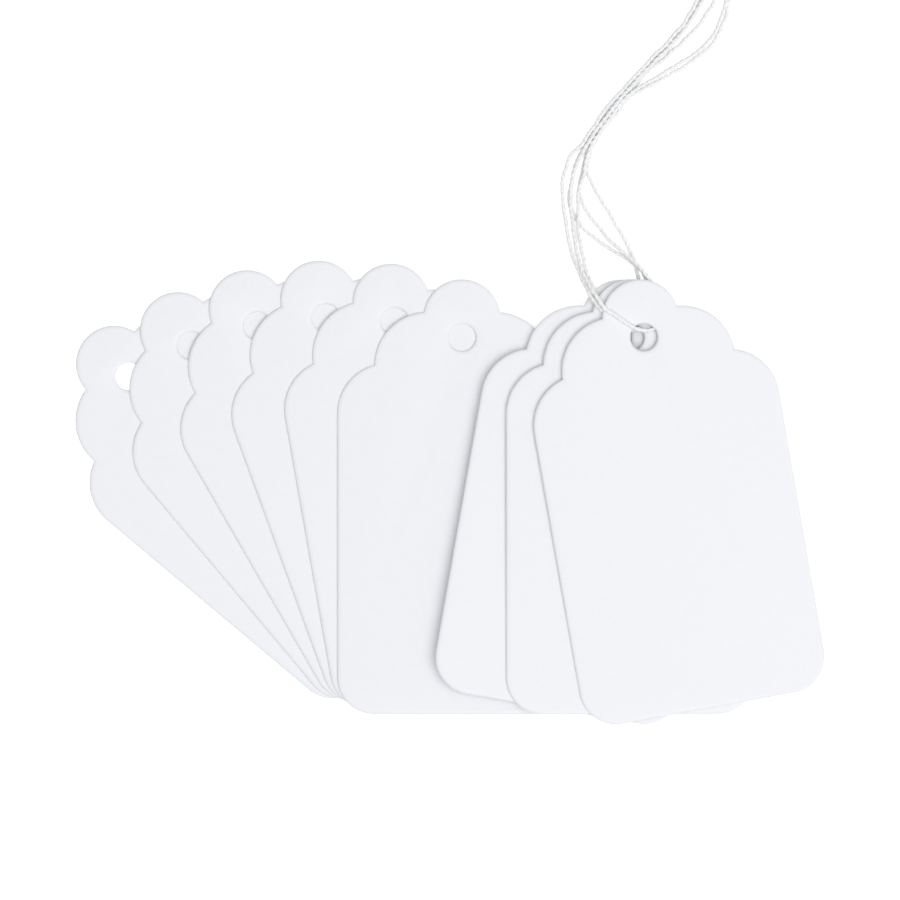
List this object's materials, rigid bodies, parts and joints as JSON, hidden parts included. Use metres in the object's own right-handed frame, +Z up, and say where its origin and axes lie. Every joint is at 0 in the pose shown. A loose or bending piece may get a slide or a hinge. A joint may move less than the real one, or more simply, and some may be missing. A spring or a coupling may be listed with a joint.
{
  "type": "strung price tag set",
  "caption": "Blank scallop-topped card price tags with punched holes: a fan of loose ones and a small bunch hung on knotted cotton string loops.",
  "frame": {"origin": "on the table, under the middle of the nine tags seen from above", "axes": "+X runs right across the fan, +Y runs from the tags' feet to their holes and on along the strings, +Z is up"},
  "size_m": [0.1202, 0.1561, 0.0048],
  "materials": {
    "card": "smooth uncoated white card, faint fibre",
    "cotton": "two-ply twisted cotton, bleached white, a little fuzzy"
  },
  "bodies": {
    "loose_tag_1": {"loose_tag_1": "card"},
    "loose_tag_2": {"loose_tag_2": "card"},
    "loose_tag_3": {"loose_tag_3": "card"},
    "loose_tag_4": {"loose_tag_4": "card"},
    "loose_tag_5": {"loose_tag_5": "card"},
    "loose_tag_6": {"loose_tag_6": "card"},
    "string_bunch": {"string_rear": "cotton", "string_middle": "cotton", "string_front": "cotton", "knot_rear": "cotton", "knot_middle": "cotton", "knot_front": "cotton"},
    "strung_tag_rear": {"strung_tag_rear": "card"},
    "strung_tag_middle": {"strung_tag_middle": "card"},
    "strung_tag_front": {"strung_tag_front": "card"}
  },
  "joints": [
    {"name": "loose_tag_2_fan", "type": "hinge", "parent": "loose_tag_1", "child": "loose_tag_2", "pos_m": [-0.01808, -0.03555, 0.00035], "axis": [0, 0, 1], "range_deg": [-40, 10]},
    {"name": "loose_tag_3_fan", "type": "hinge", "parent": "loose_tag_1", "child": "loose_tag_3", "pos_m": [-0.01808, -0.03555, 0.0007], "axis": [0, 0, 1], "range_deg": [-30, 20]},
    {"name": "loose_tag_4_fan", "type": "hinge", "parent": "loose_tag_1", "child": "loose_tag_4", "pos_m": [-0.01808, -0.03555, 0.00105], "axis": [0, 0, 1], "range_deg": [-20, 30]},
    {"name": "loose_tag_5_fan", "type": "hinge", "parent": "loose_tag_1", "child": "loose_tag_5", "pos_m": [-0.01808, -0.03555, 0.0014], "axis": [0, 0, 1], "range_deg": [-10, 40]},
    {"name": "loose_tag_6_fan", "type": "hinge", "parent": "loose_tag_1", "child": "loose_tag_6", "pos_m": [-0.01808, -0.03555, 0.00175], "axis": [0, 0, 1], "range_deg": [0, 50]},
    {"name": "bunch_lift", "type": "slide", "parent": "loose_tag_1", "child": "string_bunch", "axis": [0, 0, 1], "range_m": [0, 0.03]},
    {"name": "rear_tag_swivel", "type": "hinge", "parent": "string_bunch", "child": "strung_tag_rear", "pos_m": [0.02682, 0.02485, 0.00172], "axis": [0.0778, 0, 0.997], "range_deg": [-20, 10]},
    {"name": "middle_tag_swivel", "type": "hinge", "parent": "string_bunch", "child": "strung_tag_middle", "pos_m": [0.02892, 0.02485, 0.00249], "axis": [0.0778, -0.0095, 0.9969], "range_deg": [-4, 4]},
    {"name": "front_tag_swivel", "type": "hinge", "parent": "string_bunch", "child": "strung_tag_front", "pos_m": [0.03102, 0.02485, 0.00327], "axis": [0.0778, -0.019, 0.9968], "range_deg": [-20, 0]}
  ]
}
